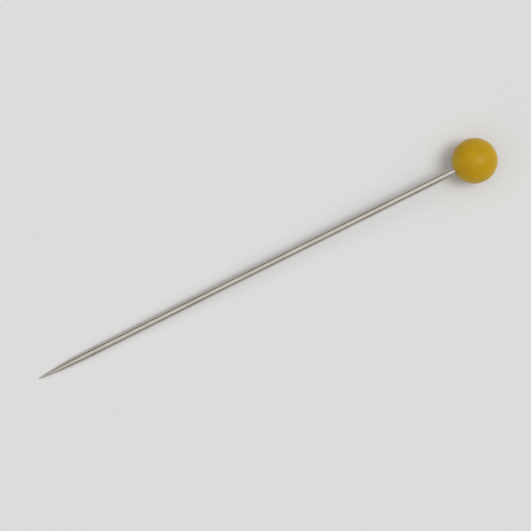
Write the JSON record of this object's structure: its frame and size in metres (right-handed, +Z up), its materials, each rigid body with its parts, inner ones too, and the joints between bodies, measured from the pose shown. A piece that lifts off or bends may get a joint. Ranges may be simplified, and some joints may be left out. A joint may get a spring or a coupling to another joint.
{
  "type": "straight pin",
  "caption": "Straight pin for sewing and quilting: a slender plated steel wire with a ground point and a round plastic ball moulded onto its blunt end, lying flat.",
  "frame": {"origin": "On the surface that the pin lies on, below the middle of its length.", "axes": "+X runs along the pin towards the ball head, +Z is up. The pin's own axis lies in the XZ plane and rises 2.47 degrees from the point to the head, because the pin rests under its ball and under the belly of its point."},
  "size_m": [0.0449, 0.004, 0.004],
  "materials": {
    "plated_wire": "polished",
    "yellow_plastic": "satin"
  },
  "bodies": {
    "root": {"shank": "plated_wire", "head": "yellow_plastic"}
  },
  "joints": []
}
